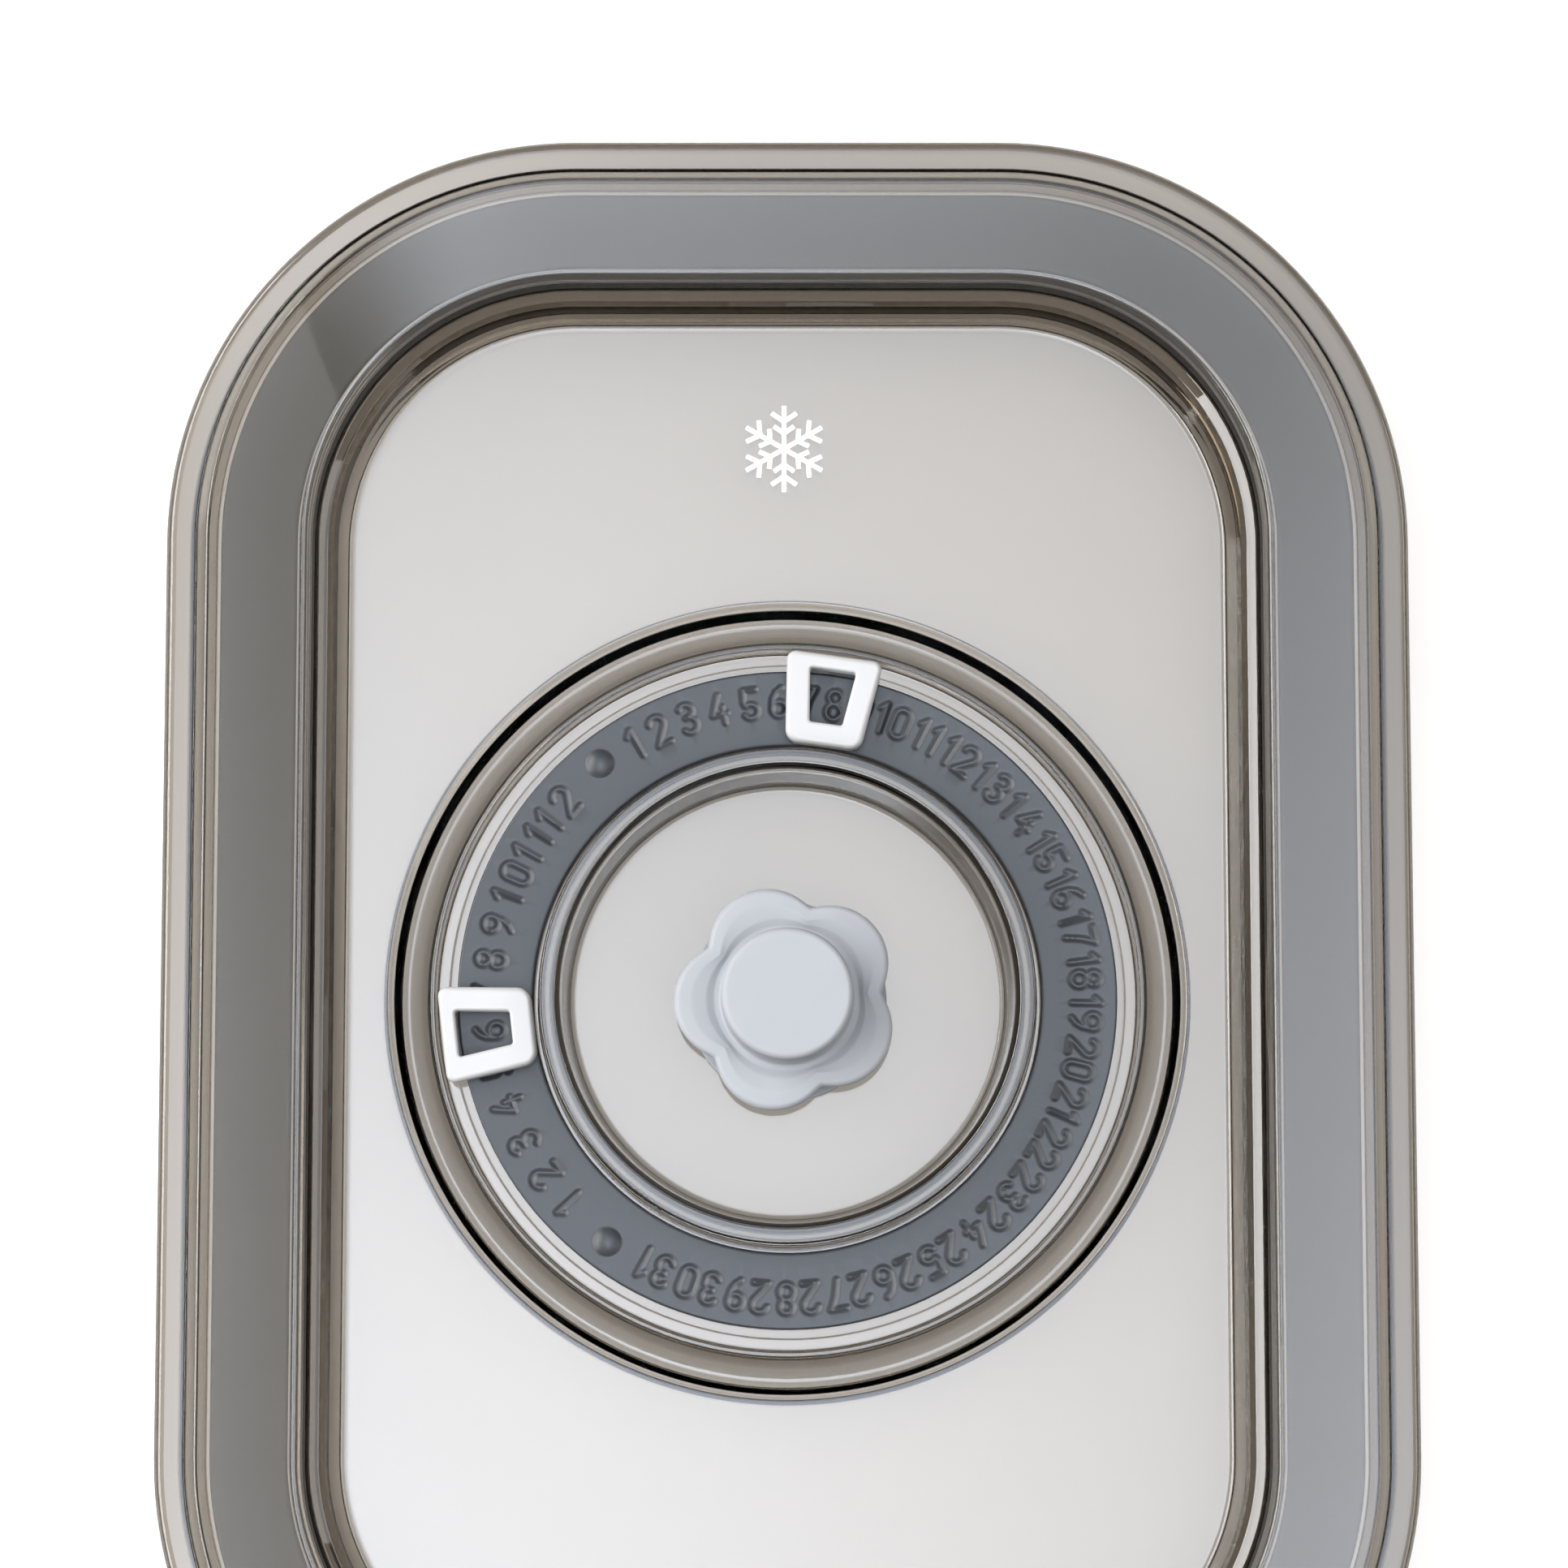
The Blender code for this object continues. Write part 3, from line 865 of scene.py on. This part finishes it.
@dataclass
class DateRing:
    """The slate ring with both engraved scales and a dome in each gap between them."""

    inner: float
    outer: float
    top: float
    bottom: float
    finish: SatinPolymer
    numerals: Numerals = field(default_factory=Numerals)
    days: Scale = Scale(31, -30.9, 206.0, 0.7, 0.2, 0.2)
    months: Scale = Scale(12, 226.7, 309.5, 1.04, 0.5, -0.15, 0.48)
    number_radius: float = 26.3
    cut: float = 0.23
    columns: int = 1440
    band_step: float = 0.11
    dome_circle: float = 26.55
    dome_azimuths: tuple[float, float] = (-38.6, 216.4)
    dome_radius: float = 1.3
    dome_height: float = 0.45

    def relief(self, radius: np.ndarray, azimuth: np.ndarray) -> np.ndarray:
        """Height of the ring's top over its plain level at these places.

        Args:
            radius: distances from the axis.
            azimuth: degrees clockwise from +Y.

        Returns:
            Heights in millimetres, below zero in the figures.
        """
        height = np.zeros(radius.shape)
        per_degree = math.radians(1.0) * self.number_radius
        for scale in (self.days, self.months):
            for number, place in enumerate(scale.azimuths(self.numerals), 1):
                turn = (azimuth - place + 180.0) % 360.0 - 180.0
                across = turn * per_degree
                near = np.abs(across) < 0.5 * self.numerals.span(number, scale.tracking) + 0.5
                up = radius[near] - self.number_radius
                share = self.numerals.depth(number, scale.tracking, across[near], up)
                height[near] -= self.cut * share
        x = radius * np.sin(np.radians(azimuth))
        y = radius * np.cos(np.radians(azimuth))
        for place in self.dome_azimuths:
            cx, cy = at_azimuth(self.dome_circle, place)
            share = np.clip(np.hypot(x - cx, y - cy) / self.dome_radius, 0.0, 1.0)
            height += self.dome_height * (1.0 - share**2)
        return height

    def build(self) -> bpy.types.Object:
        """Make the ring with its figures as real relief, and dress it.

        Returns:
            The finished piece.
        """
        band_low = self.number_radius - 0.5 * self.numerals.height - 0.45
        band_high = self.number_radius + 0.5 * self.numerals.height + 0.45
        lines = [self.inner + 0.3, self.inner + 0.4, 0.5 * (self.inner + band_low)]
        count = math.ceil((band_high - band_low) / self.band_step)
        lines += [band_low + (band_high - band_low) * i / count for i in range(count + 1)]
        angles = np.arange(self.columns) * math.tau / self.columns
        azimuth = np.degrees(0.5 * math.pi - angles)
        top_edge = filleted(
            [
                Corner(self.inner, self.bottom),
                Corner(self.inner, self.top, 0.25),
                Corner(band_low, self.top),
            ],
            False,
            30.0,
        )
        rings = [circle(x, z, angles) for x, z in top_edge[:-2]]
        for radius in lines:
            level = self.top + self.relief(np.full(self.columns, radius), azimuth)
            ring = circle(radius, 0.0, angles)
            ring[:, 2] = level
            rings.append(ring)
        rim = filleted(
            [
                Corner(band_high, self.top),
                Corner(self.outer, self.top, 0.2),
                Corner(self.outer, self.top - 0.9),
                Corner(self.outer - 0.8, self.top - 1.0),
                Corner(self.outer - 0.8, self.bottom),
            ],
            False,
            30.0,
        )
        rings += [circle(x, z, angles) for x, z in rim[2:]]
        ring_object = lofted("numbered_ring", rings, Ends.LOOP)
        crease(ring_object, 50.0)
        ring_object.data.materials.append(self.finish.material())
        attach(ring_object, "lid")
        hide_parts("date_ring")
        return ring_object


# ---------------------------------------------------------------- the sliding windows


@dataclass
class WindowSlider:
    """One white sliding window, riding over the date ring on a foot in the ring's groove."""

    name: str
    node: str
    body: str
    azimuth: float
    finish: bpy.types.Material
    bottom: float
    top: float
    outer_radius: float = 30.4
    inner_radius: float = 22.3
    outer_width: float = 8.6
    inner_width: float = 6.65
    window_far: float = 29.1
    window_near: float = 24.3
    window_outer_width: float = 4.1
    window_inner_width: float = 2.9
    outer_corner: float = 0.8
    inner_corner: float = 1.3
    window_corner: float = 0.25
    foot_share: float = 0.26
    foot_overlap: float = 0.4
    foot_outer: float = 30.25
    foot_inner: float = 29.4
    foot_bottom: float = 8.4
    hook_inner: float = 28.6
    hook_top: float = 8.7

    def turned(self, flat: np.ndarray, z: float) -> np.ndarray:
        """Turn points drawn on the +Y side to the slider's azimuth.

        Args:
            flat: an (n, 2) array of points.
            z: their height.

        Returns:
            An (n, 3) array.
        """
        angle = math.radians(self.azimuth)
        x = flat[:, 0] * math.cos(angle) + flat[:, 1] * math.sin(angle)
        y = flat[:, 1] * math.cos(angle) - flat[:, 0] * math.sin(angle)
        return np.column_stack([x, y, np.full(len(flat), z)])

    def rim(self, inset: float, z: float) -> np.ndarray:
        """The frame's outer outline.

        Args:
            inset: how far it is moved in.
            z: its height.

        Returns:
            An (n, 3) array.
        """
        wide = 0.5 * self.outer_width - inset
        narrow = 0.5 * self.inner_width - inset
        far = self.outer_radius - inset
        near = self.inner_radius + inset
        corners = [(wide, far), (-wide, far), (-narrow, near), (narrow, near)]
        radii = [self.outer_corner - inset] * 2 + [self.inner_corner - inset] * 2
        return self.turned(rounded_polygon(corners, radii, 8), z)

    def window(self, outset: float, z: float) -> np.ndarray:
        """The window's outline.

        Args:
            outset: how far it is moved out.
            z: its height.

        Returns:
            An (n, 3) array that matches the frame's outline point by point.
        """
        wide = 0.5 * self.window_outer_width + outset
        narrow = 0.5 * self.window_inner_width + outset
        far = self.window_far + outset
        near = self.window_near - outset
        corners = [(wide, far), (-wide, far), (-narrow, near), (narrow, near)]
        return self.turned(rounded_polygon(corners, [self.window_corner + outset] * 4, 8), z)

    def foot(self) -> bpy.types.Object:
        """The foot that runs in the groove, with the hook under the ring's rim.

        Returns:
            The foot, to be joined to the frame.
        """
        half = self.foot_share * self.outer_width
        root = self.bottom + self.foot_overlap
        section = [
            (self.foot_inner, root),
            (self.foot_inner, self.hook_top),
            (self.hook_inner, self.hook_top),
            (self.hook_inner, self.foot_bottom),
            (self.foot_outer, self.foot_bottom),
            (self.foot_outer, root),
        ]
        rings = []
        for x in (-half, half):
            flat = self.turned(np.array([(x, radius) for radius, _ in section]), 0.0)
            flat[:, 2] = [z for _, z in section]
            rings.append(flat)
        return lofted(self.name + "_foot", rings, Ends.POLES)

    def build(self) -> bpy.types.Object:
        """Make the frame, its rounded edges and its foot, and dress it.

        Returns:
            The finished piece.
        """
        edge = filleted(
            [
                Corner(0.5, self.bottom),
                Corner(0.0, self.bottom, 0.2),
                Corner(0.0, self.top, 0.45),
                Corner(1.5, self.top),
            ],
            False,
        )
        rings = [self.rim(inset, z) for inset, z in edge if inset < 0.75]
        lip = filleted([Corner(0.6, self.top), Corner(0.0, self.top, 0.3), Corner(0.0, self.bottom)], False)
        rings += [self.window(outset, z) for outset, z in lip]
        slider = lofted(self.name, rings, Ends.LOOP)
        foot = self.foot()
        with bpy.context.temp_override(active_object=slider, selected_editable_objects=[slider, foot]):
            bpy.ops.object.join()
        crease(slider, 50.0)
        slider.data.materials.append(self.finish)
        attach(slider, self.body)
        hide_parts(self.node)
        return slider


# ---------------------------------------------------------------- the release valve


@dataclass
class ReleaseValve:
    """The silicone valve: a knob over five petals, with a stem, sealing disc and barb beneath."""

    top: float
    bottom: float
    finish: SatinPolymer
    petals: int = 5
    petal_azimuth: float = 50.7
    petal_reach: float = 10.0
    petal_top: float = 10.3
    petal_bottom: float = 8.9
    petal_centre: float = 4.9
    knob_radius: float = 5.75
    stem_radius: float = 1.45
    barb_radius: float = 2.6
    disc_radius: float = 8.8
    steps: int = 360

    def petal_share(self, azimuth: np.ndarray) -> np.ndarray:
        """The petals' outline as a share of their full reach, with soft notches.

        Args:
            azimuth: directions, in degrees clockwise from +Y.

        Returns:
            One share for each direction.
        """
        pitch = 360.0 / self.petals
        turn = (azimuth - self.petal_azimuth + 0.5 * pitch) % pitch - 0.5 * pitch
        bend = np.radians(turn)
        radius = self.petal_reach - self.petal_centre
        beside = self.petal_centre * np.sin(bend)
        outline = self.petal_centre * np.cos(bend) + np.sqrt(radius**2 - beside**2)
        notch = np.clip((np.abs(turn) - 0.5 * pitch + 6.0) / 6.0, 0.0, 1.0)
        return (outline + 0.14 * notch**2) / self.petal_reach

    def build(self) -> bpy.types.Object:
        """Make the valve in one skin and dress it.

        Returns:
            The finished piece.
        """
        knob = self.knob_radius
        low = self.petal_bottom
        high = self.petal_top
        section = [
            Corner(0.4, self.bottom, 0.0),
            Corner(self.stem_radius + 0.2, self.bottom, 0.2),
            Corner(self.barb_radius, self.bottom + 1.0, 0.15),
            Corner(self.stem_radius, self.bottom + 1.2, 0.1),
            Corner(self.stem_radius, 5.7, 0.1),
            Corner(self.disc_radius, 5.7, 0.15),
            Corner(self.disc_radius, 6.3, 0.15),
            Corner(self.stem_radius + 1.0, 6.6, 0.3),
            Corner(self.stem_radius + 1.0, low, 0.3),
            Corner(self.petal_reach, low, 0.45),
            Corner(self.petal_reach, high - 0.12, 0.6),
            Corner(self.petal_reach - 1.5, high, 1.5),
            Corner(knob + 1.4, high - 0.15, 1.0),
            Corner(knob + 0.7, high - 0.4, 0.6),
            Corner(knob + 0.1, high - 0.4, 0.25),
            Corner(knob, self.top, 0.55),
            Corner(0.4, self.top),
        ]
        angles = np.arange(self.steps) * math.tau / self.steps
        share = self.petal_share(90.0 - np.degrees(angles))
        rings = []
        for reach, z in filleted(section, False, 12.0):
            follow = min(1.0, max(0.0, (reach - knob - 0.5) / 2.2)) if z > low - 0.01 else 0.0
            ring = circle(1.0, z, angles)
            ring[:, :2] *= (reach * (1.0 + follow * (share - 1.0)))[:, None]
            rings.append(ring)
        valve = lofted("release_valve", rings, Ends.POLES)
        valve.data.materials.append(self.finish.material())
        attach(valve, "valve")
        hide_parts("vacuum_valve")
        return valve


# ---------------------------------------------------------------- the printed mark


@dataclass
class FreezerMark:
    """A plain six-armed snowflake, printed white on the panel above the dial."""

    level: float
    finish: SatinPolymer
    place: tuple[float, float] = (-0.3, 49.0)
    arm: float = 3.9
    line: float = 0.42
    ink: float = 0.03

    def half_arm(self) -> list[tuple[float, float]]:
        """One side of one arm, from the notch between two arms to the arm's tip.

        Returns:
            Points along and beside the arm's own line.
        """
        half = 0.5 * self.line
        along = (math.cos(math.radians(55.0)), math.sin(math.radians(55.0)))
        side = (along[1] * self.line, -along[0] * self.line)
        points = [(half / math.tan(math.radians(30.0)), half)]
        for root, length in ((1.3, 1.0), (2.35, 1.25)):
            points.append((root, half))
            tip = (root + along[0] * length, half + along[1] * length)
            points.append(tip)
            points.append((tip[0] + side[0], tip[1] + side[1]))
            points.append((root + self.line / along[1], half))
        points.append((self.arm, half))
        return points

    def build(self) -> bpy.types.Object:
        """Make the mark as a thin solid of ink and dress it.

        Returns:
            The finished piece.
        """
        half = self.half_arm()
        flat: list[tuple[float, float]] = []
        for arm in range(6):
            turn = math.radians(30.0 + 60.0 * arm)
            for u, v in half + [(u, -v) for u, v in reversed(half[1:])]:
                x = self.place[0] + u * math.cos(turn) + v * math.sin(turn)
                flat.append((x, self.place[1] + u * math.sin(turn) - v * math.cos(turn)))
        count = len(flat)
        low = [(x, y, self.level + 0.005) for x, y in flat]
        high = [(x, y, self.level + self.ink) for x, y in flat]
        faces = [list(range(count)), list(range(2 * count - 1, count - 1, -1))]
        faces += [[k, (k + 1) % count, count + (k + 1) % count, count + k] for k in range(count)]
        mark = mesh_object("snowflake_print", np.array(low + high), faces)
        mark.data.shade_flat()
        mark.data.materials.append(self.finish.material())
        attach(mark, "lid")
        return mark


# ---------------------------------------------------------------- the studio


@dataclass(frozen=True)
class Softbox:
    """One large soft light, aimed at the lid."""

    name: str
    place: tuple[float, float, float]
    size: tuple[float, float]
    power: float
    colour: str = "#ffffff"


@dataclass
class Studio:
    """Pale floor, soft lights, surroundings and the camera."""

    target: tuple[float, float, float] = (-0.3, 19.2, 8.0)
    tilt: float = 7.0
    distance: float = 467.5
    lens: float = 121.0
    floor_radius: float = 3000.0
    floor_glow: float = 0.42
    peak: float = 1.0
    bands: tuple[tuple[float, float, str], ...] = (
        (0.02, 0.05, "#8a7a68"),
        (0.3, 0.2, "#a89a8a"),
        (0.6, 0.5, "#e6e0d8"),
        (0.9, 1.0, "#ffffff"),
    )
    card_height: float = 900.0
    card_centre: tuple[float, float] = (110.0, 50.0)
    card_reach: tuple[float, float] = (315.0, 500.0)
    card_glow: float = 9.9
    left_fade: float = -0.72
    right_share: float = 0.54
    back_share: float = 0.45
    softboxes: tuple[Softbox, ...] = (
        Softbox("key_left", (-850.0, 150.0, 650.0), (1500.0, 400.0), 18.0),
        Softbox("fill_right", (850.0, -100.0, 500.0), (1200.0, 300.0), 3.0),
    )

    def floor(self) -> None:
        """A table of opal acrylic, lit a little from below, so that it stays white."""
        material, tree, output, _ = start_material("opal_acrylic_table")
        shader = add_node(
            tree,
            "ShaderNodeBsdfPrincipled",
            {
                "Base Color": linear("#efeeec"),
                "Roughness": 0.6,
                "IOR": 1.49,
                "Emission Color": linear("#ffffff"),
                "Emission Strength": self.floor_glow,
            },
        )
        tree.links.new(shader.outputs["BSDF"], output.inputs["Surface"])
        angles = np.arange(96) * math.tau / 96
        rings = [circle(self.floor_radius, -2.0, angles), circle(self.floor_radius, -0.02, angles)]
        board = lofted("studio_table", rings, Ends.POLES)
        board.data.shade_flat()
        board.data.materials.append(material)

    def light(self, box: Softbox) -> None:
        """Add one softbox.

        Args:
            box: the softbox.
        """
        data = bpy.data.lights.new(box.name, "AREA")
        data.shape = "RECTANGLE"
        data.size = box.size[0] * MM
        data.size_y = box.size[1] * MM
        data.energy = box.power
        data.color = linear(box.colour)[:3]
        lamp = bpy.data.objects.new(box.name, data)
        lamp.location = Vector(box.place) * MM
        lamp.rotation_euler = (-lamp.location).to_track_quat("-Z", "Y").to_euler()
        bpy.context.scene.collection.objects.link(lamp)

    def surroundings(self) -> None:
        """A warm room, dark near the floor and pale at the ceiling."""
        world = bpy.data.worlds.new("studio_room")
        bpy.context.scene.world = world
        world.use_nodes = True
        tree = world.node_tree
        tree.nodes.clear()
        output = tree.nodes.new("ShaderNodeOutputWorld")
        coordinates = tree.nodes.new("ShaderNodeTexCoord")
        axes = add_node(tree, "ShaderNodeSeparateXYZ", {}, {"Vector": coordinates.outputs["Generated"]})
        ramp = add_node(tree, "ShaderNodeValToRGB", {}, {"Fac": axes.outputs["Z"]})
        stops = ramp.color_ramp.elements
        for place, grey, colour in self.bands:
            stop = stops.new(place)
            stop.color = [channel * grey / self.peak for channel in linear(colour)[:3]] + [1.0]
        stops.remove(stops[0])
        stops.remove(stops[-1])
        back = add_node(
            tree,
            "ShaderNodeBackground",
            {"Strength": self.peak},
            {"Color": ramp.outputs["Color"]},
        )
        tree.links.new(back.outputs["Background"], output.inputs["Surface"])

    def card(self) -> None:
        """An overhead diffuser that only shows in gloss, faded at its left, dim to the right and back."""
        material, tree, output, coordinates = start_material("overhead_diffuser_cloth")
        axes = add_node(tree, "ShaderNodeSeparateXYZ", {}, {"Vector": coordinates.outputs["Object"]})
        left = add_node(
            tree,
            "ShaderNodeMapRange",
            {"From Min": -1.0, "From Max": self.left_fade, "To Min": 0.0, "To Max": self.card_glow},
            {"Value": axes.outputs["X"]},
            interpolation_type="SMOOTHSTEP",
        )
        right = add_node(
            tree,
            "ShaderNodeMapRange",
            {"From Min": -0.7, "From Max": 0.1, "To Min": 1.0, "To Max": self.right_share},
            {"Value": axes.outputs["X"]},
        )
        back = add_node(
            tree,
            "ShaderNodeMapRange",
            {"From Min": -0.25, "From Max": 0.5, "To Min": 1.0, "To Max": self.back_share},
            {"Value": axes.outputs["Y"]},
        )
        sides = add_node(
            tree,
            "ShaderNodeMath",
            {},
            {0: left.outputs["Result"], 1: right.outputs["Result"]},
            operation="MULTIPLY",
        )
        strength = add_node(
            tree,
            "ShaderNodeMath",
            {},
            {0: sides.outputs["Value"], 1: back.outputs["Result"]},
            operation="MULTIPLY",
        )
        glow = add_node(
            tree,
            "ShaderNodeEmission",
            {"Color": linear("#eaf2ff")},
            {"Strength": strength.outputs["Value"]},
        )
        tree.links.new(glow.outputs["Emission"], output.inputs["Surface"])
        corners = np.array([(-1.0, -1.0, 0.0), (1.0, -1.0, 0.0), (1.0, 1.0, 0.0), (-1.0, 1.0, 0.0)])
        card = mesh_object("overhead_diffuser", corners / MM, [(0, 1, 2, 3)])
        card.location = Vector((*self.card_centre, self.card_height)) * MM
        card.scale = (self.card_reach[0] * MM, self.card_reach[1] * MM, 1.0)
        card.data.materials.append(material)
        card.visible_diffuse = False
        card.visible_shadow = False

    def camera(self) -> None:
        """The camera, a little in front of the lid and looking almost straight down."""
        data = bpy.data.cameras.new("studio_camera")
        data.lens = self.lens
        data.sensor_width = 36.0
        data.clip_start = 0.01
        camera = bpy.data.objects.new("studio_camera", data)
        angle = math.radians(self.tilt)
        back = Vector((0.0, -math.sin(angle), math.cos(angle))) * self.distance
        camera.location = (Vector(self.target) + back) * MM
        camera.rotation_euler = (angle, 0.0, 0.0)
        bpy.context.scene.collection.objects.link(camera)
        bpy.context.scene.camera = camera

    def build(self) -> None:
        """Set up the whole studio."""
        self.floor()
        for box in self.softboxes:
            self.light(box)
        self.surroundings()
        self.card()
        self.camera()
        bpy.context.scene.view_settings.view_transform = "Standard"


def in_mm(node: str) -> tuple[Vector, Vector]:
    """A CAD node's box in millimetres."""
    low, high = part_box(node)
    return low / MM, high / MM


def main() -> None:
    """Build every piece of the lid and its studio."""
    logging.basicConfig(level=logging.INFO, format="%(name)s: %(message)s")
    _, high = in_mm("lid_shell")
    shell = ClearShell(high.x, high.y, high.z, SmokeCopolyester())
    log.info("shell: %d faces", len(shell.build().data.polygons))
    low, high = in_mm("perimeter_seal")
    outer_inset = shell.half_width - high.x
    seal = RimSeal(shell, SEAL_SILICONE, outer_inset, SEAL_INNER_INSET, high.z, low.z)
    log.info("seal: %d faces", len(seal.build().data.polygons))
    low, high = in_mm("date_ring")
    ring = DateRing(RING_INNER, high.x, shell.panel_top, low.z, SLATE_ABS)
    log.info("date ring: %d faces", len(ring.build().data.polygons))
    white = WHITE_ACETAL.material()
    _, high = in_mm("day_slider")
    for name, node, body, azimuth in (
        ("day_window_frame", "day_slider", "day_window", DAY_AZIMUTH),
        ("month_window_frame", "month_slider", "month_window", MONTH_AZIMUTH),
    ):
        slider = WindowSlider(name, node, body, azimuth, white, SLIDER_BOTTOM, high.z)
        log.info("%s: %d faces", name, len(slider.build().data.polygons))
    low, high = in_mm("vacuum_valve")
    valve = ReleaseValve(high.z, low.z, VALVE_SILICONE)
    log.info("valve: %d faces", len(valve.build().data.polygons))
    mark = FreezerMark(shell.panel_top, WHITE_INK)
    log.info("snowflake print: %d faces", len(mark.build().data.polygons))
    Studio().build()


if __name__ == "__main__":
    main()
